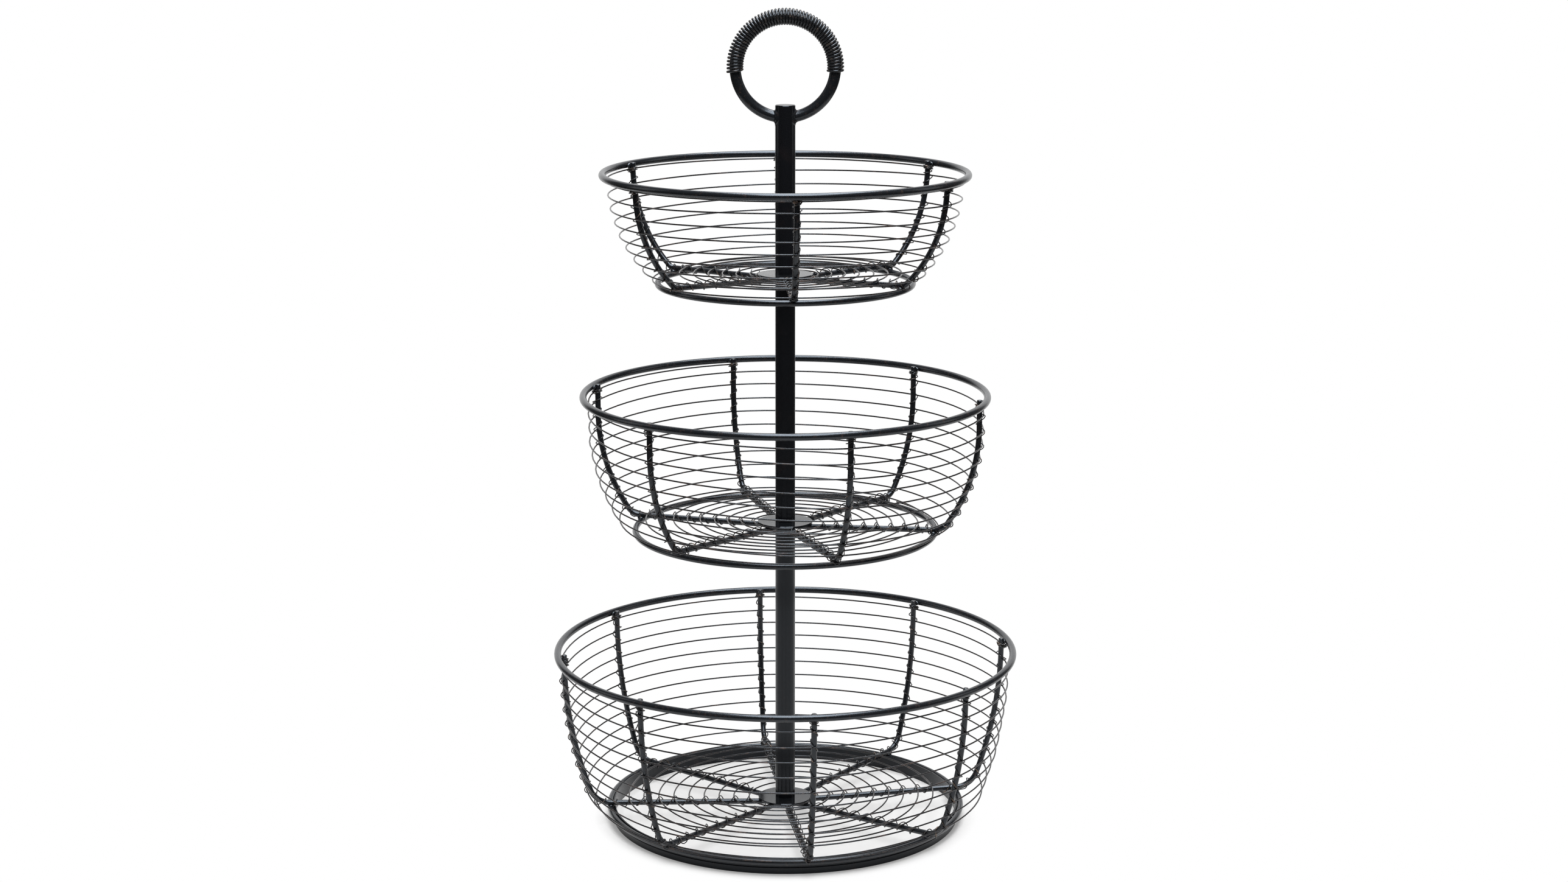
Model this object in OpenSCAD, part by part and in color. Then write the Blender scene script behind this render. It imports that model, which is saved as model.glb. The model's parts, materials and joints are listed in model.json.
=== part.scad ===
// Three-tier wire fruit basket: three round bowls on one centre post, carried by a ring handle.
// Millimetres, +Z up. The post's axis is the Z axis, the foot stands on z = 0, the front is -Y.

/* [Stock] */
// Diameter of the rod in the ribs
rib_rod_d = 4; // [3:0.1:6]
// Diameter of the rod in the rims
rim_rod_d = 5; // [3:0.1:7]
// Diameter of the rod in the base rings
base_rod_d = 4.4; // [3:0.1:7]
// Diameter of the wire in the side hoops and floor rings
weave_wire_d = 1.1; // [0.8:0.1:1.6]
// Thickness of the round hub plates
plate_t = 1.5; // [1:0.25:3]
// Diameter of the round hub plates
plate_d = 39.4; // [30:1:44]
// Chamfer round the upper edge of a hub plate
plate_chamfer = 0.3; // [0.1:0.1:0.6]
// Chamfer round the upper end of each rib
rib_chamfer = 0.8; // [0.2:0.1:1.2]
// Height of the ribs' upper ends over the middle of the rim's rod
rib_over_rim = 1.2; // [0.9:0.1:3]

/* [Post] */
// Outer diameter of the post sections
post_d = 14.3; // [12:0.1:20]
// Wall of the post tube
post_wall = 1.5; // [1:0.25:2]
// Visible length of the lower section
lower_post_l = 207; // [150:1:260]
// Visible length of the middle section
middle_post_l = 178.5; // [130:1:230]
// Visible length of the upper section
upper_post_l = 119.2; // [80:1:160]
// Thickness of the flat cap on the upper section
cap_t = 1.5; // [1:0.25:3]
// Chamfer round the cap's upper edge
cap_chamfer = 0.5; // [0.1:0.1:0.8]
// Depth of the cap's spigot in the tube
cap_spigot_l = 5; // [3:1:10]

/* [Post joints] */
// Thread size of the studs and of the bolt
stud_d = 6; // [5:1:8]
// Length of each threaded end bush
bush_l = 15; // [12:1:25]
// Depth that a stud reaches into each bush
stud_grip = 13; // [8:1:20]
// Height of the bolt's hexagon head
bolt_head_h = 4; // [3:0.5:5]
// Width across flats of the hexagon head
bolt_head_af = 10; // [9:1:12]
// Outer diameter of the washer
washer_d = 12; // [11:1:14]
// Thickness of the washer
washer_t = 1.2; // [1:0.1:2]

/* [Upper basket] */
// Diameter of the rim, centre to centre
upper_rim_d = 257.3; // [220:1:280]
// Diameter of the base ring, centre to centre
upper_base_d = 180.6; // [150:1:200]
// Height of the rim over the hub plate
upper_h = 70.7; // [60:1:90]
// Rise of the floor from hub plate to base ring
upper_floor_rise = 1.3; // [0:0.1:4]
// Radius of the long bend in each rib
upper_wall_r = 97.1; // [90:1:120]
// Radius of the tight bend at each rib's heel
upper_heel_r = 6; // [5:1:12]
// Number of ribs
upper_ribs_n = 6; // [5:1:10]
// Angle of the first rib from the front
upper_turn = 3.8; // [0:1:60]
// Number of side hoops
upper_hoops_n = 9; // [5:1:10]
// Number of floor rings
upper_floor_n = 7; // [4:1:8]

/* [Middle basket] */
// Diameter of the rim, centre to centre
middle_rim_d = 288.6; // [250:1:310]
// Diameter of the base ring, centre to centre
middle_base_d = 216; // [190:1:235]
// Height of the rim over the hub plate
middle_h = 92.4; // [80:1:110]
// Rise of the floor from hub plate to base ring
middle_floor_rise = 1.7; // [0:0.1:4]
// Radius of the long bend in each rib
middle_wall_r = 123; // [115:1:160]
// Radius of the tight bend at each rib's heel
middle_heel_r = 12.4; // [8:1:16]
// Number of ribs
middle_ribs_n = 6; // [5:1:10]
// Angle of the first rib from the front
middle_turn = 18; // [0:1:60]
// Number of side hoops
middle_hoops_n = 10; // [6:1:12]
// Number of floor rings
middle_floor_n = 9; // [5:1:10]

/* [Lower basket] */
// Diameter of the rim, centre to centre
lower_rim_d = 330.8; // [300:1:350]
// Diameter of the base ring, centre to centre
lower_base_d = 257.4; // [240:1:275]
// Height of the rim over the hub plate
lower_h = 112.1; // [100:1:130]
// Rise of the floor from hub plate to base ring
lower_floor_rise = 3.7; // [0:0.1:6]
// Radius of the long bend in each rib
lower_wall_r = 283.4; // [200:1:320]
// Radius of the tight bend at each rib's heel
lower_heel_r = 16.3; // [10:1:20]
// Number of ribs
lower_ribs_n = 8; // [6:1:12]
// Angle of the first rib from the front
lower_turn = 7.3; // [0:1:45]
// Number of side hoops
lower_hoops_n = 11; // [8:1:14]
// Number of floor rings
lower_floor_n = 10; // [6:1:11]

/* [Weave] */
// Distance along a rib from the rim to the first hoop, upper basket
upper_first_hoop = 3.3; // [3.2:0.1:6]
// Distance along a rib from the rim to the first hoop, middle basket
middle_first_hoop = 6.5; // [4:0.1:10]
// Distance along a rib from the rim to the first hoop, lower basket
lower_first_hoop = 7; // [4:0.1:10]
// Distance from hoop to hoop along a rib, upper basket
upper_hoop_pitch = 9.2; // [7:0.1:12]
// Distance from hoop to hoop along a rib, middle basket
middle_hoop_pitch = 9.5; // [7:0.1:12]
// Distance from hoop to hoop along a rib, lower basket
lower_hoop_pitch = 10.5; // [7:0.1:12]
// Gap from the hub plate's edge to the first floor ring, upper basket
upper_first_ring = 2.6; // [1:0.1:5]
// Gap from the hub plate's edge to the first floor ring, middle basket
middle_first_ring = 3.6; // [1:0.1:5]
// Gap from the hub plate's edge to the first floor ring, lower basket
lower_first_ring = 1.6; // [1:0.1:5]
// Distance from the last floor ring to the base ring, upper basket
upper_last_ring = 6.8; // [4:0.1:12]
// Distance from the last floor ring to the base ring, middle basket
middle_last_ring = 4.7; // [4:0.1:12]
// Distance from the last floor ring to the base ring, lower basket
lower_last_ring = 11; // [4:0.1:12]

/* [Foot] */
// Height of the foot strip
foot_h = 11.1; // [9:0.5:16]
// Thickness of the foot strip
foot_t = 1.2; // [1:0.1:2]
// Chamfer along the strip's outer edges
foot_chamfer = 0.3; // [0.1:0.1:0.5]
// Height that the base ring stands over the strip's edge
foot_step = 0.3; // [0.2:0.1:1]
// Depth of the line rolled round the strip
foot_line_depth = 0.3; // [0.2:0.1:0.5]
// Width of the line rolled round the strip
foot_line_w = 0.8; // [0.6:0.1:2]
// Height of that line over the table
foot_line_z = 4.8; // [3:0.1:8]

/* [Handle] */
// Diameter of the ring, centre to centre
handle_ring_d = 70; // [60:1:90]
// Diameter of the ring's rod
handle_rod_d = 8; // [6:1:10]
// Height of the post's top over the middle of the ring's rod
post_over_ring = 8.8; // [6:0.2:12]
// Turns of wire wound on the ring
wrap_turns = 54; // [30:1:54]
// Diameter of the wound wire
wrap_wire_d = 1.4; // [1.2:0.1:1.4]
// Angle from the ring's level line down to each end of the winding
wrap_end_angle = 5.5; // [0:0.5:20]

/* [Hidden] */
// Gap left at a welded seat
weld_gap = 0.05;
// Length and height of the mark between two bends, and how far inside it each bend stops
bend_mark_l = 0.6;
bend_mark_t = 0.02;
bend_stop = 0.05;
// Radial gap of a bush in the tube and of a stud in a bush
thread_gap = 0.05;
// Radial gap of a stud or bolt in a hub plate
plate_hole_gap = 0.3;
// Gap from the post's surface to the end of each spoke
spoke_gap = 0.4;
// Least straight length of a rib under the rim's level
least_plumb_l = 1;
// Length that a cutter stands out at each end of its cut
cut_end = 1;
// Facets of a quick look: round a large ring, a plate or tube, a hole, and a rod
ring_facets = 96;
tube_facets = 48;
hole_facets = 32;
rod_facets = 24;
rib_rod_r = rib_rod_d / 2;
base_rod_r = base_rod_d / 2;
wire_r = weave_wire_d / 2;
plate_r = plate_d / 2;
post_r = post_d / 2;
bore_r = post_r - post_wall;
seat = rib_rod_r + wire_r + weld_gap;
spoke_start = post_r + spoke_gap;
// Steps between the middles of two rods that are welded: rim and rib, then base ring and rib
rim_to_rib = rim_rod_d / 2 + rib_rod_r + weld_gap;
base_to_rib = base_rod_r + rib_rod_r + weld_gap;

// Heights of the stack, from the table up: each plate is given by its upper face
lower_base_z = foot_h + foot_step - base_rod_r;
lower_plate_z = plate_over(lower_base_z, lower_floor_rise);
middle_plate_z = lower_plate_z + lower_post_l + plate_t;
upper_plate_z = middle_plate_z + middle_post_l + plate_t;
post_top_z = upper_plate_z + upper_post_l;
ring_z = post_top_z - post_over_ring + handle_ring_d / 2;

function plate_over(base_z, rise) =
    base_z + base_to_rib - rise + rib_rod_r + weld_gap + plate_t;

// A tier keeps the sizes that its ribs and wires share
function tier(rim_d, base_d, h, plate_z, rise, wall_r, heel_r, n, turn) =
    [rim_d / 2, base_d / 2, plate_z + h, plate_z, rise, wall_r, heel_r, n, turn];
function rim_r(t) = t[0];
function base_r(t) = t[1];
function rim_z(t) = t[2];
function plate_z(t) = t[3];
function floor_rise(t) = t[4];
function wanted_wall_r(t) = t[5];
function heel_r(t) = t[6];
function ribs_n(t) = t[7];
function turn(t) = t[8];

upper = tier(upper_rim_d, upper_base_d, upper_h, upper_plate_z, upper_floor_rise,
    upper_wall_r, upper_heel_r, upper_ribs_n, upper_turn);
middle = tier(middle_rim_d, middle_base_d, middle_h, middle_plate_z, middle_floor_rise,
    middle_wall_r, middle_heel_r, middle_ribs_n, middle_turn);
lower = tier(lower_rim_d, lower_base_d, lower_h, lower_plate_z, lower_floor_rise,
    lower_wall_r, lower_heel_r, lower_ribs_n, lower_turn);

// The middle of a spoke climbs from the plate's edge to the base ring
function floor_slope(t) = atan(floor_rise(t) / (base_r(t) - plate_r));
function hub_spoke_z(t) = plate_z(t) - plate_t - weld_gap - rib_rod_r;
function spoke_z(t, r) = hub_spoke_z(t) + (r - plate_r) * tan(floor_slope(t));
function base_z(t) = spoke_z(t, base_r(t)) - base_to_rib;

// A rib hangs straight inside the rim, turns through wall_bend on the long radius,
// then through the heel, whose middle is where the long bend ends and the spoke is met
function rib_top_r(t) = rim_r(t) - rim_to_rib;
function heel_centre(t) =
    [base_r(t) - heel_r(t) * sin(floor_slope(t)),
     spoke_z(t, base_r(t)) + heel_r(t) * cos(floor_slope(t))];

// The long radius is the wanted one, or less where that bend would start over the rim
function wall_reach(t) = rib_top_r(t) - heel_centre(t)[0] - heel_r(t);
function tallest_wall(t) = rim_z(t) - least_plumb_l - heel_centre(t)[1];
function tallest_wall_r(t) =
    heel_r(t) + tallest_wall(t) / sin(2 * atan(wall_reach(t) / tallest_wall(t)));
function wall_r(t) = min(wanted_wall_r(t), tallest_wall_r(t));
function bends_dr(t) = wall_r(t) - heel_r(t);
function wall_bend(t) = acos((heel_centre(t)[0] - rib_top_r(t) + wall_r(t)) / bends_dr(t));
function wall_start_z(t) = heel_centre(t)[1] + bends_dr(t) * sin(wall_bend(t));

// Distance s runs down the rib from the rim's level, and the slant is the rib's turn from plumb
function plumb_l(t) = rim_z(t) - wall_start_z(t);
function wall_l(t) = wall_r(t) * wall_bend(t) * PI / 180;
function heel_l(t) = heel_r(t) * (90 - floor_slope(t) - wall_bend(t)) * PI / 180;
function rib_l(t) = plumb_l(t) + wall_l(t) + heel_l(t);
function slant(t, s) =
    s < plumb_l(t) ? 0 :
    s < plumb_l(t) + wall_l(t) ? (s - plumb_l(t)) / wall_r(t) * 180 / PI :
    wall_bend(t) + (s - plumb_l(t) - wall_l(t)) / heel_r(t) * 180 / PI;
function rib_point(t, s) =
    s < plumb_l(t) ? [rib_top_r(t), rim_z(t) - s] :
    s < plumb_l(t) + wall_l(t) ?
        [rib_top_r(t) - wall_r(t) * (1 - cos(slant(t, s))),
         wall_start_z(t) - wall_r(t) * sin(slant(t, s))] :
        heel_centre(t) + heel_r(t) * [cos(slant(t, s)), -sin(slant(t, s))];
function hoop_point(t, s) = rib_point(t, s) + seat * [cos(slant(t, s)), -sin(slant(t, s))];

module ring(r, z, d) {
    translate([0, 0, z])
        rotate_extrude($fn = ring_facets)
            translate([r, 0])
                circle(d = d, $fn = rod_facets);
}

// A round bar, plate or tube end that stands on z = 0, with its upper edge chamfered
module eased(h, r, chamfer, facets) {
    cylinder(h = h - chamfer, r = r, $fn = facets);
    translate([0, 0, h - chamfer])
        cylinder(h = chamfer, r1 = r, r2 = r - chamfer, $fn = facets);
}

module around(n, start) {
    for (i = [0 : n - 1])
        rotate([0, 0, start - 90 + i * 360 / n])
            children();
}

// A bend is drawn in the plane of x and height, from one slant to the next
module bend(centre, r, from, to) {
    translate([centre[0], 0, centre[1]])
        rotate([90, 0, 0])
            rotate_extrude(angle = to - from, start = -to, $fn = ring_facets)
                translate([r, 0])
                    circle(d = rib_rod_d, $fn = rod_facets);
}

// The bender leaves a short mark where one bend meets the next, which joins the two
module bend_mark(r, z, slant) {
    translate([r, 0, z])
        rotate([0, slant, 0])
            cylinder(h = bend_mark_l, d = rib_rod_d + 2 * bend_mark_t, center = true, $fn = rod_facets);
}

module rib(t) {
    slope = floor_slope(t);
    heel_z = spoke_z(t, base_r(t));
    wall_centre = [rib_top_r(t) - wall_r(t), wall_start_z(t) - heel_z];
    joint = rib_point(t, plumb_l(t) + wall_l(t)) - [0, heel_z];
    heel_stop = bend_stop / heel_r(t) * 180 / PI;
    wall_stop = bend_stop / wall_r(t) * 180 / PI;
    spoke_l = (base_r(t) - spoke_start) / cos(slope) - bend_stop;
    translate([0, 0, heel_z]) {
        translate([rib_top_r(t), 0, wall_centre[1]])
            eased(plumb_l(t) + rib_over_rim, rib_rod_r, rib_chamfer, rod_facets);
        bend(wall_centre, wall_r(t), 0, wall_bend(t) - wall_stop);
        bend_mark(joint[0], joint[1], wall_bend(t));
        bend(heel_centre(t) - [0, heel_z], heel_r(t), wall_bend(t) + heel_stop,
            90 - slope - heel_stop);
        bend_mark(base_r(t), 0, 90 - slope);
        translate([base_r(t), 0, 0])
            rotate([0, -90 - slope, 0])
                translate([0, 0, bend_stop])
                    cylinder(h = spoke_l, d = rib_rod_d, $fn = rod_facets);
    }
}

module ribs(t) {
    around(ribs_n(t), turn(t))
        rib(t);
}

// Hoops keep their pitch, unless the ribs are too short for it
module side_wires(t, n, first, pitch) {
    step = min(pitch, (rib_l(t) - base_rod_r - first) / (n - 1));
    for (i = [0 : n - 1]) {
        p = hoop_point(t, first + step * i);
        ring(p[0], p[1], weave_wire_d);
    }
}

module floor_wires(t, n, first_gap, last_gap) {
    first = plate_r + first_gap;
    last = base_r(t) - last_gap;
    for (i = [0 : n - 1]) {
        r = first + (last - first) * i / (n - 1);
        ring(r, spoke_z(t, r) + seat / cos(floor_slope(t)), weave_wire_d);
    }
}

module hub_plate(t) {
    translate([0, 0, plate_z(t) - plate_t])
        difference() {
            eased(plate_t, plate_r, plate_chamfer, tube_facets);
            translate([0, 0, -cut_end])
                cylinder(h = plate_t + 2 * cut_end, r = stud_d / 2 + plate_hole_gap, $fn = hole_facets);
        }
}

module tube(z, l) {
    translate([0, 0, z])
        difference() {
            cylinder(h = l, r = post_r, $fn = tube_facets);
            translate([0, 0, -cut_end])
                cylinder(h = l + 2 * cut_end, r = bore_r, $fn = tube_facets);
        }
}

module bush(z) {
    translate([0, 0, z])
        difference() {
            cylinder(h = bush_l, r = bore_r - thread_gap, $fn = tube_facets);
            translate([0, 0, -cut_end])
                cylinder(h = bush_l + 2 * cut_end, r = stud_d / 2 + thread_gap, $fn = hole_facets);
        }
}

module stud(plate_top_z) {
    translate([0, 0, plate_top_z - plate_t - stud_grip])
        cylinder(h = 2 * stud_grip + plate_t, d = stud_d, $fn = hole_facets);
}

// Points on the winding's middle line, eight to a turn, which reach round the ring's rod
wrap_steps = 8;
wrap_sides = 6;
wrap_r = (handle_rod_d / 2 + wrap_wire_d / 2 + weld_gap) / cos(180 / wrap_steps);
wrap_count = wrap_turns * wrap_steps;
function wrap_out(i) =
    let (a = -wrap_end_angle + (180 + 2 * wrap_end_angle) * i / wrap_count)
    [cos(a), 0, sin(a)];
function wrap_normal(i) =
    let (w = 360 * i / wrap_steps)
    wrap_out(i) * cos(w) + [0, sin(w), 0];
function wrap_point(i) =
    [0, 0, ring_z] + wrap_out(i) * handle_ring_d / 2 + wrap_normal(i) * wrap_r;
function unit(v) = v / norm(v);
function wrap_tangent(i) =
    unit(wrap_point(min(i + 1, wrap_count)) - wrap_point(max(i - 1, 0)));
function wrap_section(i, along) =
    let (t = wrap_tangent(i), n = unit(wrap_normal(i) - t * (t * wrap_normal(i))), b = cross(t, n))
    [for (k = [0 : wrap_sides - 1], a = [360 / wrap_sides * k])
        wrap_point(i) + t * along + (n * cos(a) + b * sin(a)) * wrap_wire_d / 2];

module wrap_tube() {
    sections = concat([wrap_section(0, -wrap_wire_d)],
        [for (i = [0 : wrap_count]) wrap_section(i, 0)],
        [wrap_section(wrap_count, wrap_wire_d)]);
    points = [for (s = sections) each s];
    last = len(points) - wrap_sides;
    sides = [for (i = [0 : wrap_sides : last - wrap_sides], k = [0 : wrap_sides - 1])
        let (next = (k + 1) % wrap_sides)
        [i + k, i + wrap_sides + k, i + wrap_sides + next, i + next]];
    start_face = [for (k = [0 : wrap_sides - 1]) k];
    end_face = [for (k = [wrap_sides - 1 : -1 : 0]) last + k];
    polyhedron(points = points, faces = concat([start_face], sides, [end_face]));
}

wrap_gap = min([for (i = [0 : wrap_count - wrap_steps - 1], k = [-1 : 1])
    norm(wrap_point(i + wrap_steps + k) - wrap_point(i)) - wrap_wire_d]);
echo(least_gap_in_winding = wrap_gap);

module handle_ring() {
    color("#2c2e31")
        difference() {
            translate([0, 0, ring_z])
                rotate([90, 0, 0])
                    rotate_extrude($fn = ring_facets)
                        translate([handle_ring_d / 2, 0])
                            circle(d = handle_rod_d, $fn = hole_facets);
            translate([0, 0, ring_z - handle_ring_d / 2 - handle_rod_d])
                cylinder(h = 2 * handle_rod_d, r = post_r + weld_gap, $fn = tube_facets);
        }
}

module handle_wrap() {
    color("#3a3733")
        wrap_tube();
}

module post_cap() {
    color("#2c2e31") {
        translate([0, 0, post_top_z - cap_t])
            eased(cap_t, post_r, cap_chamfer, tube_facets);
        translate([0, 0, post_top_z - cap_t - cap_spigot_l])
            cylinder(h = cap_spigot_l, r = bore_r - thread_gap, $fn = tube_facets);
    }
}

module upper_post() {
    color("#2c2e31")
        tube(upper_plate_z, upper_post_l - cap_t);
}

module middle_post() {
    color("#2c2e31")
        tube(middle_plate_z, middle_post_l);
}

module lower_post() {
    color("#2c2e31")
        tube(lower_plate_z, lower_post_l);
}

module upper_post_bush() {
    color("#8b8d90")
        bush(upper_plate_z);
}

module middle_post_bushes() {
    color("#8b8d90") {
        bush(middle_plate_z);
        bush(middle_plate_z + middle_post_l - bush_l);
    }
}

module lower_post_bushes() {
    color("#8b8d90") {
        bush(lower_plate_z);
        bush(lower_plate_z + lower_post_l - bush_l);
    }
}

module upper_stud() {
    color("#a5a7aa")
        stud(upper_plate_z);
}

module lower_stud() {
    color("#a5a7aa")
        stud(middle_plate_z);
}

module base_washer() {
    color("#a5a7aa")
        translate([0, 0, lower_plate_z - plate_t - washer_t])
            difference() {
                cylinder(h = washer_t, d = washer_d, $fn = tube_facets);
                translate([0, 0, -cut_end])
                    cylinder(h = washer_t + 2 * cut_end, r = stud_d / 2 + plate_hole_gap, $fn = hole_facets);
            }
}

module base_bolt() {
    under_head_z = lower_plate_z - plate_t - washer_t;
    color("#a5a7aa") {
        translate([0, 0, under_head_z - bolt_head_h])
            cylinder(h = bolt_head_h, d = bolt_head_af / cos(30), $fn = 6);
        translate([0, 0, under_head_z])
            cylinder(h = washer_t + plate_t + stud_grip, d = stud_d, $fn = hole_facets);
    }
}

module foot_hoop() {
    foot_r = base_r(lower) - base_rod_r - weld_gap;
    color("#2c2e31")
        rotate_extrude($fn = ring_facets)
            polygon([[foot_r - foot_t, 0], [foot_r - foot_chamfer, 0], [foot_r, foot_chamfer],
                [foot_r, foot_line_z - foot_line_w / 2], [foot_r - foot_line_depth, foot_line_z],
                [foot_r, foot_line_z + foot_line_w / 2], [foot_r, foot_h - foot_chamfer],
                [foot_r - foot_chamfer, foot_h], [foot_r - foot_t, foot_h]]);
}

module upper_rim() {
    color("#2c2e31")
        ring(rim_r(upper), rim_z(upper), rim_rod_d);
}

module upper_base_ring() {
    color("#2c2e31")
        ring(base_r(upper), base_z(upper), base_rod_d);
}

module upper_ribs() {
    color("#2c2e31")
        ribs(upper);
}

module upper_side_wires() {
    color("#4a443e")
        side_wires(upper, upper_hoops_n, upper_first_hoop, upper_hoop_pitch);
}

module upper_floor_wires() {
    color("#4a443e")
        floor_wires(upper, upper_floor_n, upper_first_ring, upper_last_ring);
}

module upper_hub_plate() {
    color("#55585c")
        hub_plate(upper);
}

module middle_rim() {
    color("#2c2e31")
        ring(rim_r(middle), rim_z(middle), rim_rod_d);
}

module middle_base_ring() {
    color("#2c2e31")
        ring(base_r(middle), base_z(middle), base_rod_d);
}

module middle_ribs() {
    color("#2c2e31")
        ribs(middle);
}

module middle_side_wires() {
    color("#4a443e")
        side_wires(middle, middle_hoops_n, middle_first_hoop, middle_hoop_pitch);
}

module middle_floor_wires() {
    color("#4a443e")
        floor_wires(middle, middle_floor_n, middle_first_ring, middle_last_ring);
}

module middle_hub_plate() {
    color("#55585c")
        hub_plate(middle);
}

module lower_rim() {
    color("#2c2e31")
        ring(rim_r(lower), rim_z(lower), rim_rod_d);
}

module lower_base_ring() {
    color("#2c2e31")
        ring(base_r(lower), base_z(lower), base_rod_d);
}

module lower_ribs() {
    color("#2c2e31")
        ribs(lower);
}

module lower_side_wires() {
    color("#4a443e")
        side_wires(lower, lower_hoops_n, lower_first_hoop, lower_hoop_pitch);
}

module lower_floor_wires() {
    color("#4a443e")
        floor_wires(lower, lower_floor_n, lower_first_ring, lower_last_ring);
}

module lower_hub_plate() {
    color("#55585c")
        hub_plate(lower);
}

handle_ring();
handle_wrap();
post_cap();
upper_post();
middle_post();
lower_post();
upper_post_bush();
middle_post_bushes();
lower_post_bushes();
upper_stud();
lower_stud();
base_washer();
base_bolt();
foot_hoop();
upper_rim();
upper_base_ring();
upper_ribs();
upper_side_wires();
upper_floor_wires();
upper_hub_plate();
middle_rim();
middle_base_ring();
middle_ribs();
middle_side_wires();
middle_floor_wires();
middle_hub_plate();
lower_rim();
lower_base_ring();
lower_ribs();
lower_side_wires();
lower_floor_wires();
lower_hub_plate();
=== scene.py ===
import json
import math
import random

import bpy
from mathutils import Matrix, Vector


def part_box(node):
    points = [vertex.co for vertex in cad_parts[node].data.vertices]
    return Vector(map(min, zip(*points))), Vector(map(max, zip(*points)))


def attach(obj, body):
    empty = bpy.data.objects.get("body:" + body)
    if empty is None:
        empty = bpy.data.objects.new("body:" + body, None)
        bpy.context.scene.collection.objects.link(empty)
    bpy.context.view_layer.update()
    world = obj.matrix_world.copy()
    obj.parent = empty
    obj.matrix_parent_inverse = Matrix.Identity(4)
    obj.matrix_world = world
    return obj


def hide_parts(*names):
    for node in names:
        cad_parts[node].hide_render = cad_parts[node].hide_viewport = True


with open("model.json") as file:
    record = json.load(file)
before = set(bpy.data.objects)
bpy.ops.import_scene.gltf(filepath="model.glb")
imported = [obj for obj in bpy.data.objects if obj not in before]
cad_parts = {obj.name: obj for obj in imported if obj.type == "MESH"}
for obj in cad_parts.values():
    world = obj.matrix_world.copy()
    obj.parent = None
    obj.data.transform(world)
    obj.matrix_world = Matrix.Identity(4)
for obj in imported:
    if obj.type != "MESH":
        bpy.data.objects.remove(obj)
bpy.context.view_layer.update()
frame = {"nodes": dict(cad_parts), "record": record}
scene = bpy.context.scene
random.seed(7)
print("frame loaded:", len(frame["nodes"]), "nodes")


# camera: the place it was taken from, in metres, looking a little down at the post

cameraSet = {"distance": 1.97575, "height": 0.70634, "side": -0.0009, "pitchDown": 12.163,
             "lens": 64.694, "sensor": 36, "sight": 50}


def addCamera():
    bpy.ops.object.camera_add(
        location=(cameraSet["side"], -cameraSet["distance"], cameraSet["height"]),
        rotation=(math.radians(90 - cameraSet["pitchDown"]), 0, 0))
    cam = bpy.context.object
    cam.data.sensor_width = cameraSet["sensor"]
    cam.data.lens = cameraSet["lens"]
    cam.data.clip_end = cameraSet["sight"]
    scene.camera = cam


addCamera()
print("camera set")


# rods and wires

stock = {
    "rodR": 0.002, "wireR": 0.00055, "gap": 0.00005,        # rodR is the ribs' own
    "sides": 2, "thickSides": 5, "rodSides": 6,             # the bevels of a wire, the winding and a rib
    "ribTop": 0.0016, "ribChamfer": 0.0004,                 # a rib's end over the rim's middle, and its edge
    "wallSteps": 30, "heelSteps": 14, "spokeGap": 0.0004,
}

weave = {
    "spanSteps": 12,                            # points from rib to rib
    "shake": 0.0004, "flatShake": (0.7, 1.3),   # the hand's own unevenness
    "rimClear": 0.0033, "heelClear": 0.003,     # how near a side wire comes to the rim and the heel's end
    "plateClear": 0.0014, "baseClear": 0.0045,  # and a floor wire to the hub plate and the base ring
}

# a rib runs plumb from the rim, along the wall's bend and round the heel's, then in and down by the rise;
# turn (degrees) is where the first rib stands, lean how far each is off its even place, hand which way
# round it is bound, and flat how far a span of wire lies inside the round; a wire starts at the rib "from"
# and moves on by its pitch in a turn, offsets (mm) are how far it is off the turn's mean at each rib, in
# order, and swell is how much of them the first turn has, what each turn adds, and the most
baskets = {
    "upper": {
        "ribs": 6, "hand": 1, "turn": 3.8, "wallR": 0.0971, "heelR": 0.006, "rise": 0.0013, "flat": 0.0011,
        "lean": (-0.2, -0.65, -0.35, -1.4, -1.25, 1.0),
        "side": {"from": 2, "turns": 9, "first": 0.0029, "pitch": 0.0096, "swell": (0.15, 0.85, 1.0),
                 "offsets": (-3.2, -0.6, 1.7, 0.5, -1.0, 2.2)},
        "floor": {"from": 1, "turns": 7, "first": 0.079, "pitch": -0.01, "swell": (1, 0, 1),
                  "offsets": (3.1, 5.6, 4.1, -1.9, -5.4, -5.6)}},
    "middle": {
        "ribs": 6, "hand": 1, "turn": 18, "wallR": 0.123, "heelR": 0.0124, "rise": 0.0017, "flat": 0.0022,
        "lean": (0.3, 1.0, -1.5, -1.6, -1.2, 0.7),
        "side": {"from": 3, "turns": 10, "first": 0.0074, "pitch": 0.0101, "swell": (0.6, 0.4, 1.0),
                 "offsets": (-8.2, -5.7, -2.6, 3.3, 4.5, 3.2)},
        "floor": {"from": 1, "turns": 9, "first": 0.1025, "pitch": -0.0099, "swell": (1, 0, 1),
                  "offsets": (4.4, 1.3, 1.7, -0.6, -3.3, -3.3)}},
    "lower": {
        "ribs": 8, "hand": -1, "turn": 7.3, "wallR": 0.2834, "heelR": 0.0163, "rise": 0.0037, "flat": 0.0014,
        "lean": (-0.35, -1.15, 1.0, -0.35, -0.3, 0.6, 0, -0.5),
        "side": {"from": 2, "turns": 11, "first": 0.007, "pitch": 0.0105, "swell": (0.5, 0.13, 1.25),
                 "offsets": (-5.2, -3.2, -3.0, -2.9, 1.1, 4.9, 5.8, 2.8)},
        "floor": {"from": 3, "turns": 9, "first": 0.114, "pitch": -0.011, "swell": (1, 0, 1),
                  "offsets": (8.3, 6.0, 2.0, 0.9, -1.5, -5.7, -5.9, -4.1)}},
}


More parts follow.
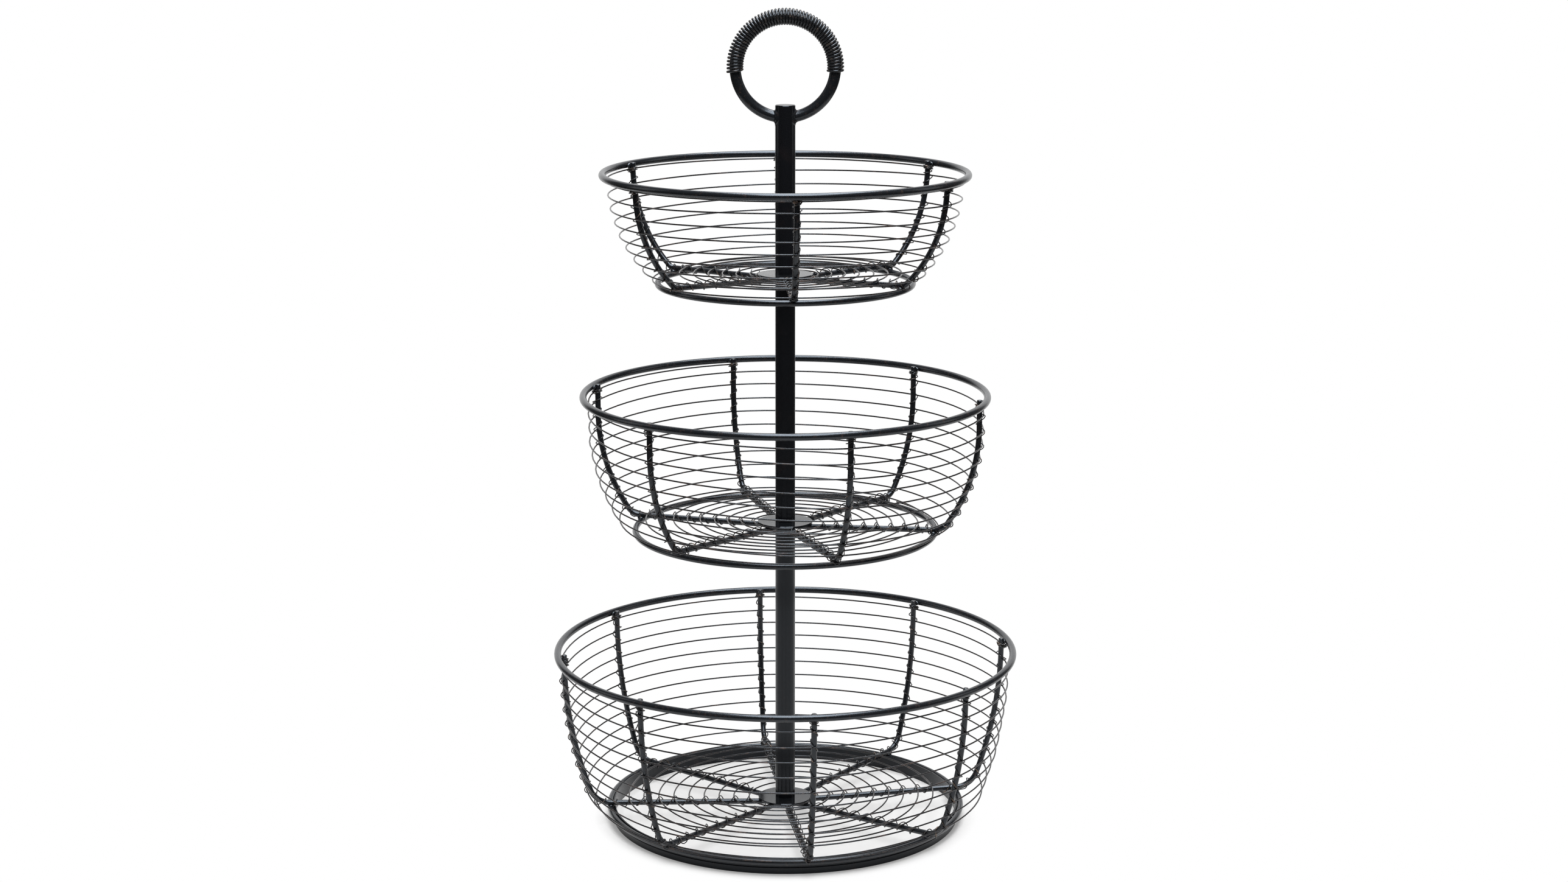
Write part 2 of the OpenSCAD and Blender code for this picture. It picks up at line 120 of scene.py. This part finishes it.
def measureBasket(tier):
    b = baskets[tier]
    rimLow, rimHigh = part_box(tier + "_rim")
    baseLow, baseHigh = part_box(tier + "_base_ring")
    plateLow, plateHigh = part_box(tier + "_hub_plate")
    b["rimRodR"] = (rimHigh[2] - rimLow[2]) / 2
    b["rimR"] = (rimHigh[0] - rimLow[0]) / 2 - b["rimRodR"]
    b["rimZ"] = (rimHigh[2] + rimLow[2]) / 2
    baseRodR = (baseHigh[2] - baseLow[2]) / 2
    b["baseR"] = (baseHigh[0] - baseLow[0]) / 2 - baseRodR
    b["plateR"] = (plateHigh[0] - plateLow[0]) / 2
    b["plateZ"] = plateHigh[2]
    b["slope"] = math.atan(b["rise"] / (b["baseR"] - b["plateR"]))
    b["topR"] = b["rimR"] - b["rimRodR"] - stock["rodR"] - stock["gap"]
    b["spokeZ"] = baseHigh[2] + stock["rodR"] + stock["gap"]
    heelR, wallR = b["heelR"], b["wallR"]
    b["heel"] = (b["baseR"] - heelR * math.sin(b["slope"]), b["spokeZ"] + heelR * math.cos(b["slope"]))
    b["bend"] = math.acos((b["heel"][0] - b["topR"] + wallR) / (wallR - heelR))
    b["wallZ"] = b["heel"][1] + (wallR - heelR) * math.sin(b["bend"])
    b["plumb"] = b["rimZ"] - b["wallZ"]
    b["wallL"] = wallR * b["bend"]
    b["ribL"] = b["plumb"] + b["wallL"] + heelR * (math.pi / 2 - b["slope"] - b["bend"])


for tier in baskets:
    measureBasket(tier)


def ribPlace(b, s):
    # radius, height and the normal's dip at distance s along a rib, from the rim down and in
    if s < b["plumb"]:
        return b["topR"], b["rimZ"] - s, 0.0
    if s < b["plumb"] + b["wallL"]:
        a = (s - b["plumb"]) / b["wallR"]
        return b["topR"] - b["wallR"] * (1 - math.cos(a)), b["wallZ"] - b["wallR"] * math.sin(a), a
    if s < b["ribL"]:
        a = b["bend"] + (s - b["plumb"] - b["wallL"]) / b["heelR"]
        return b["heel"][0] + b["heelR"] * math.cos(a), b["heel"][1] - b["heelR"] * math.sin(a), a
    inward = s - b["ribL"]
    slope = b["slope"]
    return b["baseR"] - inward * math.cos(slope), b["spokeZ"] - inward * math.sin(slope), math.pi / 2 - slope


def ribAngle(b, k):
    return math.radians(b["turn"] - 90 + k * 360 / b["ribs"] + b["lean"][k % b["ribs"]])


def crossings(b, way):
    # where one long wire meets rib after rib: the rib's number and the wire's distance
    lay = b[way]
    low, high = weave["rimClear"], b["ribL"] - weave["heelClear"]
    if way == "floor":
        low, high = b["plateR"] + weave["plateClear"], b["baseR"] - weave["baseClear"]
    met = []
    for i in range(lay["turns"] * b["ribs"]):
        turn, place = divmod(i, b["ribs"])
        much = min(lay["swell"][0] + lay["swell"][1] * turn, lay["swell"][2])
        d = lay["first"] + lay["pitch"] * turn + lay["offsets"][place] * 0.001 * much
        d += random.uniform(-weave["shake"], weave["shake"])
        met.append((lay["from"] + i, min(max(d, low), high)))
    return met


def between(d, i, t):
    # a smooth curve through the distances in d
    d0, d1, d2, d3 = d[max(i - 1, 0)], d[i], d[i + 1], d[min(i + 2, len(d) - 1)]
    return d1 + 0.5 * t * (d2 - d0 + t * (2 * d0 - 5 * d1 + 4 * d2 - d3 + t * (3 * (d1 - d2) + d3 - d0)))


def weaveWire(b, way):
    met = crossings(b, way)
    d = [m[1] for m in met]
    seat = stock["rodR"] + stock["wireR"] + stock["gap"]
    points = []
    for i in range(len(met) - 1):
        flat = b["flat"] * random.uniform(*weave["flatShake"])
        for n in range(weave["spanSteps"]):
            t = n / weave["spanSteps"]
            here = between(d, i, t)
            if way == "side":
                r, z, a = ribPlace(b, here)
                r, z = r + seat * math.cos(a), z - seat * math.sin(a)
            else:
                r, z, a = ribPlace(b, b["ribL"] + (b["baseR"] - here) / math.cos(b["slope"]))
                z += seat / math.cos(b["slope"])
            r -= flat * math.sin(math.pi * t) * r / b["rimR"]
            phi = ribAngle(b, met[i][0]) * (1 - t) + ribAngle(b, met[i][0] + 1) * t
            points.append(Vector((r * math.cos(phi), r * math.sin(phi), z)))
    return points, met


# the thin wire that binds the woven one to each rib, a turn to a crossing

tie = {
    "r": 0.00038, "steps": 20, "topTurns": 3, "heelTurns": 2.5,
    "start": 0.0026,                # below the rim's middle
    "slack": 0.0004, "arch": 0.0006, "shake": (0.6, 1.4),   # clear over a side wire, and over a floor wire
    "reach": (0, 0.95, 1.6),        # radians each side of a side wire, and of a floor wire, that stand off
    "round": 0.8,                   # under 1 the turn over a wire is fuller than a cosine
    "front": 0.5,                   # how much of the pitch the outer strand takes beyond a half
    # the lashing under the rim: how high it is, how much higher inside, how far it stands off and how often
    "lashing": 0.0026, "inside": 0.0014, "mess": 0.0008, "messTurns": 2.7,
    "near": 0.001,                  # a side wire this near below the lashing is bound in it
}


def tieRib(b, k, sideMet, floorMet):
    n = b["ribs"]
    side = sorted(d for rib, d in sideMet if rib % n == k)
    floor = sorted(b["ribL"] + (b["baseR"] - d) / math.cos(b["slope"])
                   for rib, d in floorMet if rib % n == k)
    lashed = tie["start"] + tie["lashing"]
    bound = side[0] < lashed + tie["near"]
    w = 0 if bound else -2 * math.pi
    # distance along the rib, angle round it, and what is bound: 0 nothing, 1 a side wire, 2 a floor wire
    knots = [(tie["start"], w - 2 * math.pi * tie["topTurns"], 0), (lashed, w, 0)]
    for i, s in enumerate(side):
        if i or not bound:
            knots.append((s, 2 * math.pi * i, 1))
    w = knots[-1][1]
    for i, s in enumerate(floor):
        knots.append((s, w + 2 * math.pi * (tie["heelTurns"] + i), 2))
    phi = ribAngle(b, k)
    out = Vector((math.cos(phi), math.sin(phi), 0))
    across = Vector((math.sin(phi), -math.cos(phi), 0)) * b["hand"]
    wobble = random.uniform(0, 6)
    points = []
    for (s0, w0, kind0), (s1, w1, kind1) in zip(knots, knots[1:]):
        count = max(2, round((w1 - w0) / (2 * math.pi) * tie["steps"]))
        clear = [tie["arch" if kind == 2 else "slack"] * random.uniform(*tie["shake"])
                 for kind in (kind0, kind1)]
        for i in range(count):
            w = w0 + (w1 - w0) * i / count
            s = s0 + (s1 - s0) * (i / count + tie["front"] * math.sin(w - w0) / (w1 - w0))
            near, kind, loose = (w - w0, kind0, clear[0]) if 2 * i < count else (w1 - w, kind1, clear[1])
            rho = stock["rodR"] + tie["r"] + stock["gap"]
            if kind and near < tie["reach"][kind]:
                bulge = near / tie["reach"][kind]
                over = math.cos(bulge * math.pi / 2) ** tie["round"] if kind == 1 else 1 - bulge ** 2
                rho += over * (2 * stock["wireR"] + stock["gap"] + loose)
            elif kind0 == 0 or (kind0, kind1) == (1, 2):
                rho += tie["mess"] * (0.5 + 0.5 * math.sin(tie["messTurns"] * w + wobble))
            if kind0 == kind1 == 0:
                s -= tie["inside"] * (0.5 - 0.5 * math.cos(w))
                if bound:
                    rho += 2 * stock["wireR"] * max(0, math.cos(w)) ** tie["round"]
            r, z, a = ribPlace(b, s)
            normal = out * math.cos(a) - Vector((0, 0, math.sin(a)))
            middle = out * r + Vector((0, 0, z))
            points.append(middle + normal * (rho * math.cos(w)) + across * (rho * math.sin(w)))
    return points


def bendRib(b, k):
    postLow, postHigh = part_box("lower_post")
    inward = b["baseR"] - (postHigh[0] - postLow[0]) / 2 - stock["spokeGap"]
    wallEnd, top = b["plumb"] + b["wallL"], stock["ribTop"]
    heelL = b["ribL"] - wallEnd
    places = [-top, stock["ribChamfer"] - top]
    places += [wallEnd * i / stock["wallSteps"] for i in range(1, stock["wallSteps"])]
    places += [wallEnd + heelL * i / stock["heelSteps"] for i in range(stock["heelSteps"] + 1)]
    places.append(b["ribL"] + inward / math.cos(b["slope"]))
    phi = ribAngle(b, k)
    bent = [ribPlace(b, s) for s in places]
    return [Vector((r * math.cos(phi), r * math.sin(phi), z)) for r, z, _ in bent]


def makeWire(name, strands, radius, replaced, slot="dark_wire", sides="sides"):
    bpy.ops.object.select_all(action="DESELECT")
    bpy.ops.curve.primitive_bezier_circle_add()
    wire = bpy.context.object
    wire.name = name
    curve = wire.data
    curve.splines.clear()
    for points in strands:
        line = curve.splines.new("POLY")
        line.points.add(len(points) - 1)
        for point, p in zip(line.points, points):
            point.co = (p[0], p[1], p[2], 1)
        if slot == "black_metal":       # a rib's top edge is broken
            line.points[0].radius = 1 - stock["ribChamfer"] / radius
    curve.dimensions = "3D"
    curve.bevel_depth = radius
    curve.bevel_resolution = stock[sides]
    curve.use_fill_caps = True
    bpy.ops.object.convert(target="MESH")
    facet = math.pi / (2 + stock[sides])        # the angle between two faces round the wire
    bpy.ops.object.shade_smooth_by_angle(angle=1.1 * facet)
    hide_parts(*replaced)
    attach(wire, "root")
    return wire


wires, ribs = [], []
for tier, b in baskets.items():
    bent = [bendRib(b, k) for k in range(b["ribs"])]
    ribs.append(makeWire(tier + "Ribs", bent, stock["rodR"], [tier + "_ribs"], "black_metal", "rodSides"))
    sideWire, sideMet = weaveWire(b, "side")
    floorWire, floorMet = weaveWire(b, "floor")
    ties = [tieRib(b, k, sideMet, floorMet) for k in range(b["ribs"])]
    wires.append(makeWire(tier + "SideWire", [sideWire], stock["wireR"], [tier + "_side_wires"]))
    wires.append(makeWire(tier + "FloorWire", [floorWire], stock["wireR"], [tier + "_floor_wires"]))
    wires.append(makeWire(tier + "Ties", ties, tie["r"], [tier + "_side_wires", tier + "_floor_wires"]))
print("wires wound:", len(wires))


# winding on the ring handle

winding = {
    "turns": 54, "wireR": 0.00095, "rodR": 0.004, "start": -5.5, "end": 185.5, "steps": 24,
    "slack": 0.0002,        # how far the turns stand off outside the ring
    "flare": 0.0005,        # the last half turn at each end, behind the ring, springs off the rod
}


def windRing():
    low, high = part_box("handle_ring")
    ringR = (high[0] - low[0]) / 2 - winding["rodR"]
    centreZ = high[2] - winding["rodR"] - ringR
    seat = winding["rodR"] + winding["wireR"] + stock["gap"]
    count = winding["turns"] * winding["steps"]
    points = []
    for i in range(count + 1):
        a = math.radians(winding["start"] + (winding["end"] - winding["start"]) * i / count)
        w = 2 * math.pi * i / winding["steps"] + math.pi / 2
        out = Vector((math.cos(a), 0, math.sin(a)))
        ends = min(i, count - i) / winding["steps"]
        far = seat + winding["flare"] * max(0, 1 - 2 * ends) + winding["slack"] * (0.5 + 0.5 * math.cos(w))
        points.append(Vector((0, 0, centreZ)) + out * (ringR + far * math.cos(w))
                      + Vector((0, far * math.sin(w), 0)))
    return makeWire("handleWinding", [points], winding["wireR"], ["handle_wrap"], sides="thickSides")


wires.append(windRing())
print("handle wound")


# welds: each end of the ring runs into the post, and each rib is tacked to its rim and base ring

weld = {
    "grow": 0.0021, "run": 0.0014, "uneven": 0.22, "sides": 40,     # on the post and along the ring
    "thin": 0.3,            # how much the bead thins inside the ring
    # the bead's section: how far it is off the ring's rod, and how far along the ring
    "section": ((1, 0), (0.45, 0.18), (0.15, 0.45), (0, 1),
                (-0.3, 0.5), (-0.4, -0.6), (0.4, -0.7), (1, -0.35)),
    "rimTack": (0.0015, 0.0038, 0.0019), "rimDrop": 0.0006,         # out, along and up, and below the rim
    "baseTack": (0.0024, 0.0033, 0.0014),
    "tackSteps": 3, "rough": 0.12, "lumps": Vector((5, 4, 6)),      # how fine and how uneven a tack is
}


def finishWelds(name):
    beads = bpy.context.object
    beads.name = name
    bpy.ops.object.transform_apply(location=True, rotation=True, scale=True)
    bpy.ops.object.mode_set(mode="EDIT")
    bpy.ops.mesh.select_all(action="SELECT")
    bpy.ops.mesh.normals_make_consistent(inside=False)
    bpy.ops.object.mode_set(mode="OBJECT")
    bpy.ops.object.shade_smooth()
    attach(beads, "root")
    return beads


def weldRing(side):
    # a torus whose section is pulled into a fillet between the post and the ring's rod
    low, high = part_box("handle_ring")
    postLow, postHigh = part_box("upper_post")
    rodR, postR = winding["rodR"], (postHigh[0] - postLow[0]) / 2
    ringR = (high[0] - low[0]) / 2 - rodR
    centreZ = high[2] - rodR - ringR
    bpy.ops.object.select_all(action="DESELECT")
    section = weld["section"]
    bpy.ops.mesh.primitive_torus_add(major_segments=weld["sides"], minor_segments=len(section))
    for v in bpy.context.object.data.vertices:
        i, j = divmod(v.index, len(section))
        turn = 2 * math.pi * i / weld["sides"]
        wave = weld["uneven"] * math.sin(3 * turn + side)
        grow = weld["grow"] * (1 - weld["thin"] * math.cos(turn) + wave)
        run = weld["run"] * (1 + weld["uneven"] * math.sin(2 * turn + 2 * side))
        rise, along = section[j]
        rho = rodR + grow * rise
        r = ringR - rho * math.cos(turn)
        # how far round the ring it comes out of the post
        reach = math.asin(math.sqrt(postR ** 2 - (rho * math.sin(turn)) ** 2) / r)
        a = reach + run * along / ringR
        v.co = (side * r * math.sin(a), rho * math.sin(turn), centreZ - r * math.cos(a))
    return finishWelds("ringWeldRight" if side > 0 else "ringWeldLeft")


def tackRibs(tier, b):
    bpy.ops.object.select_all(action="DESELECT")
    tacks = []
    for k in range(b["ribs"]):
        phi = ribAngle(b, k)
        for r, z, size in ((b["rimR"] - b["rimRodR"], b["rimZ"] - weld["rimDrop"], weld["rimTack"]),
                           (b["baseR"], b["spokeZ"] - stock["rodR"], weld["baseTack"])):
            bpy.ops.mesh.primitive_ico_sphere_add(
                subdivisions=weld["tackSteps"], radius=1, rotation=(0, 0, phi), scale=size,
                location=(r * math.cos(phi), r * math.sin(phi), z))
            tack = bpy.context.object
            for v in tack.data.vertices:
                v.co *= 1 + weld["rough"] * math.sin(weld["lumps"].dot(v.co) + 2 * k)
            tacks.append(tack)
    for tack in tacks:
        tack.select_set(True)
    bpy.ops.object.join()
    return finishWelds(tier + "Tacks")


welds = [weldRing(-1), weldRing(1)] + [tackRibs(tier, b) for tier, b in baskets.items()]
print("welds laid:", len(welds))


# finishes

wear = {
    "patchDetail": 9, "patchRoughness": 0.7, "patchEdge": (0.54, 0.7),      # where a patch fades in
    "grainScale": 900, "grainDetail": 3, "grainRough": 0.1, "grainHeight": 0.0005,
    "tint": (0.87, 0.93, 1, 1),     # the coat mirrors a little bluely
}


def rubbedCoat():
    # a black coat, worn in patches to warm metal
    group = bpy.data.node_groups.new("rubbedCoat", "ShaderNodeTree")
    sockets = group.interface
    for name, kind in (("Coat", "NodeSocketColor"), ("Rub", "NodeSocketColor"),
                       ("Patch Scale", "NodeSocketFloat"), ("Worn", "NodeSocketFloat"),
                       ("Roughness", "NodeSocketFloat")):
        sockets.new_socket(name, in_out="INPUT", socket_type=kind)
    for name, kind in (("Color", "NodeSocketColor"), ("Metal", "NodeSocketFloat"),
                       ("Rough", "NodeSocketFloat"), ("Height", "NodeSocketFloat")):
        sockets.new_socket(name, in_out="OUTPUT", socket_type=kind)
    nodes, links = group.nodes, group.links
    inside = nodes.new("NodeGroupInput")
    outside = nodes.new("NodeGroupOutput")
    where = nodes.new("ShaderNodeTexCoord")
    patches = nodes.new("ShaderNodeTexNoise")
    patches.inputs["Detail"].default_value = wear["patchDetail"]
    patches.inputs["Roughness"].default_value = wear["patchRoughness"]
    links.new(where.outputs["Object"], patches.inputs["Vector"])
    links.new(inside.outputs["Patch Scale"], patches.inputs["Scale"])
    ramp = nodes.new("ShaderNodeMapRange")
    ramp.inputs["From Min"].default_value, ramp.inputs["From Max"].default_value = wear["patchEdge"]
    links.new(patches.outputs["Fac"], ramp.inputs["Value"])
    worn = nodes.new("ShaderNodeMath")
    worn.operation = "MULTIPLY"
    links.new(ramp.outputs["Result"], worn.inputs[0])
    links.new(inside.outputs["Worn"], worn.inputs[1])
    links.new(worn.outputs[0], outside.inputs["Metal"])
    mix = nodes.new("ShaderNodeMix")
    mix.data_type = "RGBA"
    links.new(worn.outputs[0], mix.inputs["Factor"])
    # a colour mix has its two colours at 6 and 7, and its result at 2
    links.new(inside.outputs["Coat"], mix.inputs[6])
    links.new(inside.outputs["Rub"], mix.inputs[7])
    links.new(mix.outputs[2], outside.inputs["Color"])
    grain = nodes.new("ShaderNodeTexNoise")
    grain.inputs["Scale"].default_value = wear["grainScale"]
    grain.inputs["Detail"].default_value = wear["grainDetail"]
    links.new(where.outputs["Object"], grain.inputs["Vector"])
    rough = nodes.new("ShaderNodeMath")
    rough.operation = "MULTIPLY_ADD"
    rough.inputs[1].default_value = wear["grainRough"]
    links.new(grain.outputs["Fac"], rough.inputs[0])
    links.new(inside.outputs["Roughness"], rough.inputs[2])
    links.new(rough.outputs[0], outside.inputs["Rough"])
    links.new(grain.outputs["Fac"], outside.inputs["Height"])
    return group


coatGroup = rubbedCoat()

finishes = {
    "blackCoat": {
        "coat": (0.009, 0.0095, 0.011, 1), "rub": (0.27, 0.155, 0.11, 1), "scale": 330, "worn": 0.15,
        "rough": 0.18, "bump": 0.05, "shine": 0.5},
    "postCoat": {
        "coat": (0.006, 0.006, 0.007, 1), "rub": (0.2, 0.1, 0.07, 1), "scale": 60, "worn": 0.03,
        "rough": 0.16, "bump": 0.02, "shine": 0.36},
    "stripCoat": {
        "coat": (0.004, 0.0042, 0.0055, 1), "rub": (0.2, 0.12, 0.09, 1), "scale": 90, "worn": 0.08,
        "rough": 0.2, "bump": 0.04, "shine": 0.27},
    "wireCoat": {
        "coat": (0.014, 0.011, 0.01, 1), "rub": (0.34, 0.22, 0.17, 1), "scale": 120, "worn": 0.35,
        "rough": 0.17, "bump": 0.03, "shine": 0.5},
    "windCoat": {
        "coat": (0.013, 0.0125, 0.013, 1), "rub": (0.62, 0.46, 0.36, 1), "scale": 420, "worn": 0.2,
        "rough": 0.13, "bump": 0.02, "shine": 0.5},
    "tieCoat": {
        "coat": (0.02, 0.016, 0.014, 1), "rub": (0.5, 0.34, 0.24, 1), "scale": 200, "worn": 0.7,
        "rough": 0.18, "bump": 0.02, "shine": 0.5},
    "hubCoat": {
        "coat": (0.0065, 0.007, 0.0077, 1), "rub": (0.1, 0.08, 0.07, 1), "scale": 60, "worn": 0.1,
        "rough": 0.06, "bump": 0.01, "shine": 0.5},
    "bareSteel": {
        "coat": (0.45, 0.45, 0.46, 1), "rub": (0.5, 0.48, 0.45, 1), "scale": 200, "worn": 1.0,
        "rough": 0.3, "bump": 0.03, "shine": 0.5},
}


def makeFinish(name):
    look = finishes[name]
    mat = bpy.data.materials.new(name)
    mat.use_nodes = True
    nodes, links = mat.node_tree.nodes, mat.node_tree.links
    shader = nodes["Principled BSDF"]
    coat = nodes.new("ShaderNodeGroup")
    coat.node_tree = coatGroup
    coat.inputs["Coat"].default_value = look["coat"]
    coat.inputs["Rub"].default_value = look["rub"]
    coat.inputs["Patch Scale"].default_value = look["scale"]
    coat.inputs["Worn"].default_value = look["worn"]
    coat.inputs["Roughness"].default_value = look["rough"]
    links.new(coat.outputs["Color"], shader.inputs["Base Color"])
    links.new(coat.outputs["Metal"], shader.inputs["Metallic"])
    links.new(coat.outputs["Rough"], shader.inputs["Roughness"])
    shader.inputs["Specular IOR Level"].default_value = look["shine"]
    shader.inputs["Specular Tint"].default_value = wear["tint"]
    bump = nodes.new("ShaderNodeBump")
    bump.inputs["Strength"].default_value = look["bump"]
    bump.inputs["Distance"].default_value = wear["grainHeight"]
    links.new(coat.outputs["Height"], bump.inputs["Height"])
    links.new(bump.outputs["Normal"], shader.inputs["Normal"])
    return mat


materials = {name: makeFinish(name) for name in finishes}
slotFinish = {
    "black_metal": "blackCoat", "dark_wire": "wireCoat", "hub_metal": "hubCoat", "bare_steel": "bareSteel"}
nodeFinish = {
    "post_cap": "postCoat", "upper_post": "postCoat", "middle_post": "postCoat", "lower_post": "postCoat",
    "foot_hoop": "stripCoat"}


def paint(obj, mat):
    obj.data.materials.clear()
    obj.data.materials.append(mat)


def paintFrame():
    for part in frame["record"]["subparts"]:
        finish = nodeFinish.get(part["node"], slotFinish[part["material_slot"]])
        paint(frame["nodes"][part["node"]], materials[finish])


paintFrame()
for wire in wires:
    finish = "tieCoat" if wire.name.endswith("Ties") else "wireCoat"
    paint(wire, materials["windCoat" if wire.name == "handleWinding" else finish])
for piece in ribs + welds:
    paint(piece, materials["blackCoat"])
print("finishes on")


# floor, world and lamps

def anyRay(nodes, links, kinds):
    # 1 for rays of these kinds, 0 for the others
    seen = nodes.new("ShaderNodeLightPath")
    share = seen.outputs[kinds[0]]
    for kind in kinds[1:]:
        most = nodes.new("ShaderNodeMath")
        most.operation = "MAXIMUM"
        links.new(share, most.inputs[0])
        links.new(seen.outputs[kind], most.inputs[1])
        share = most.outputs[0]
    return share


studio = {
    "tableR": 0.8, "tableSides": 96,
    "tableGrey": (0.62, 0.578, 0.54, 1), "tableRough": 0.9, "tableShine": 0.1,
    # how much of the table's own grey gives way to plain white at a radius, from its middle out; under the
    # basket half white is painted light over its shade, and the dip at the foot's edge is a grey ring,
    # partly rendered shadow and partly painted shade
    "white": ((0, 0.55), (0.119, 0.55), (0.122, 0.12), (0.1255, 0.25), (0.142, 1)),
    "roomFront": 0.06, "roomBack": 0.5,     # the room's light in front, and from behind on matt things
    "backSpread": 1.2, "backEdge": 0.3,     # how narrow the white behind is, and how soft its edge
}

# place, what it points at, width and length, watts and colour
lamps = {
    "topLamp": ((0.15, -0.4, 2.2), (0.15, -0.4, 0), (1.2, 3.0), 122, (0.87, 0.935, 1.0)),
    "leftLamp": ((-2.0, 0.2, 1.0), (0, 0, 0.3), (0.7, 1.6), 3, (1, 1, 1)),
    "rightLamp": ((2.0, 0.2, 1.0), (0, 0, 0.3), (0.7, 1.6), 3, (1, 1, 1)),
}


def addTable():
    # a white table, and round the foot just enough of its own grey to hold the shadow: a ring that is partly
    # painted shade, with painted white lifting the shade under the basket
    bpy.ops.object.select_all(action="DESELECT")
    bpy.ops.mesh.primitive_circle_add(
        vertices=studio["tableSides"], radius=studio["tableR"], fill_type="NGON")
    table = bpy.context.object
    table.name = "table"
    mat = bpy.data.materials.new("paleTable")
    mat.use_nodes = True
    nodes, links = mat.node_tree.nodes, mat.node_tree.links
    shader = nodes["Principled BSDF"]
    shader.inputs["Base Color"].default_value = studio["tableGrey"]
    shader.inputs["Roughness"].default_value = studio["tableRough"]
    shader.inputs["Specular IOR Level"].default_value = studio["tableShine"]
    where = nodes.new("ShaderNodeTexCoord")
    length = nodes.new("ShaderNodeVectorMath")
    length.operation = "LENGTH"
    links.new(where.outputs["Object"], length.inputs[0])
    spread = nodes.new("ShaderNodeMath")
    spread.operation = "DIVIDE"
    spread.inputs[1].default_value = studio["tableR"]
    links.new(length.outputs["Value"], spread.inputs[0])
    # the fade by radius paints the shade ring round the foot and the painted lift under the basket
    fade = nodes.new("ShaderNodeValToRGB")
    fade.color_ramp.interpolation = "EASE"
    stops = fade.color_ramp.elements
    while len(stops) < len(studio["white"]):
        stops.new(0.5)
    for stop, (r, share) in zip(stops, studio["white"]):
        stop.position, stop.color = r / studio["tableR"], (share, share, share, 1)
    links.new(spread.outputs[0], fade.inputs["Fac"])
    plain = nodes.new("ShaderNodeMath")
    plain.operation = "MULTIPLY"
    links.new(fade.outputs["Color"], plain.inputs[0])
    direct = anyRay(nodes, links, ("Is Camera Ray", "Is Glossy Ray", "Is Transmission Ray"))
    links.new(direct, plain.inputs[1])
    white = nodes.new("ShaderNodeEmission")
    mix = nodes.new("ShaderNodeMixShader")
    links.new(plain.outputs[0], mix.inputs["Fac"])
    links.new(shader.outputs["BSDF"], mix.inputs[1])
    links.new(white.outputs["Emission"], mix.inputs[2])
    links.new(mix.outputs["Shader"], nodes["Material Output"].inputs["Surface"])
    paint(table, mat)


def setWorld():
    # white behind, for the camera and in what the metal mirrors; the room in front of the object is dark
    world = bpy.data.worlds.new("studioWorld")
    scene.world = world
    world.use_nodes = True
    nodes, links = world.node_tree.nodes, world.node_tree.links
    back = nodes["Background"]
    where = nodes.new("ShaderNodeTexCoord")
    split = nodes.new("ShaderNodeSeparateXYZ")
    links.new(where.outputs["Generated"], split.inputs[0])
    depth = nodes.new("ShaderNodeMapRange")
    depth.inputs["From Max"].default_value = studio["backEdge"]
    depth.inputs["To Min"].default_value = studio["roomFront"]
    aside = nodes.new("ShaderNodeMath")
    aside.operation = "ABSOLUTE"
    links.new(split.outputs["X"], aside.inputs[0])
    inward = nodes.new("ShaderNodeMath")
    inward.operation = "MULTIPLY_ADD"
    inward.inputs[1].default_value = -studio["backSpread"]
    links.new(aside.outputs[0], inward.inputs[0])
    links.new(split.outputs["Y"], inward.inputs[2])
    links.new(inward.outputs[0], depth.inputs["Value"])
    behind = nodes.new("ShaderNodeMix")
    behind.data_type = "FLOAT"
    behind.inputs["A"].default_value = studio["roomBack"]
    behind.inputs["B"].default_value = 1.0
    links.new(anyRay(nodes, links, ("Is Glossy Ray", "Is Transmission Ray")), behind.inputs["Factor"])
    links.new(behind.outputs["Result"], depth.inputs["To Max"])
    mix = nodes.new("ShaderNodeMix")
    mix.data_type = "FLOAT"
    links.new(anyRay(nodes, links, ("Is Camera Ray",)), mix.inputs["Factor"])
    links.new(depth.outputs["Result"], mix.inputs["A"])
    mix.inputs["B"].default_value = 1.0
    links.new(mix.outputs["Result"], back.inputs["Strength"])
    back.inputs["Color"].default_value = (1, 1, 1, 1)


def addLamp(name, place, aim, size, power, color):
    bpy.ops.object.light_add(type="AREA", location=place)
    lamp = bpy.context.object
    lamp.name = name
    lamp.data.shape = "RECTANGLE"
    lamp.data.size, lamp.data.size_y = size
    lamp.data.energy = power
    lamp.data.color = color
    lamp.rotation_euler = (Vector(aim) - Vector(place)).to_track_quat("-Z", "Y").to_euler()


addTable()
setWorld()
for name, lamp in lamps.items():
    addLamp(name, *lamp)
scene.view_settings.view_transform = "Standard"
print("studio lit")
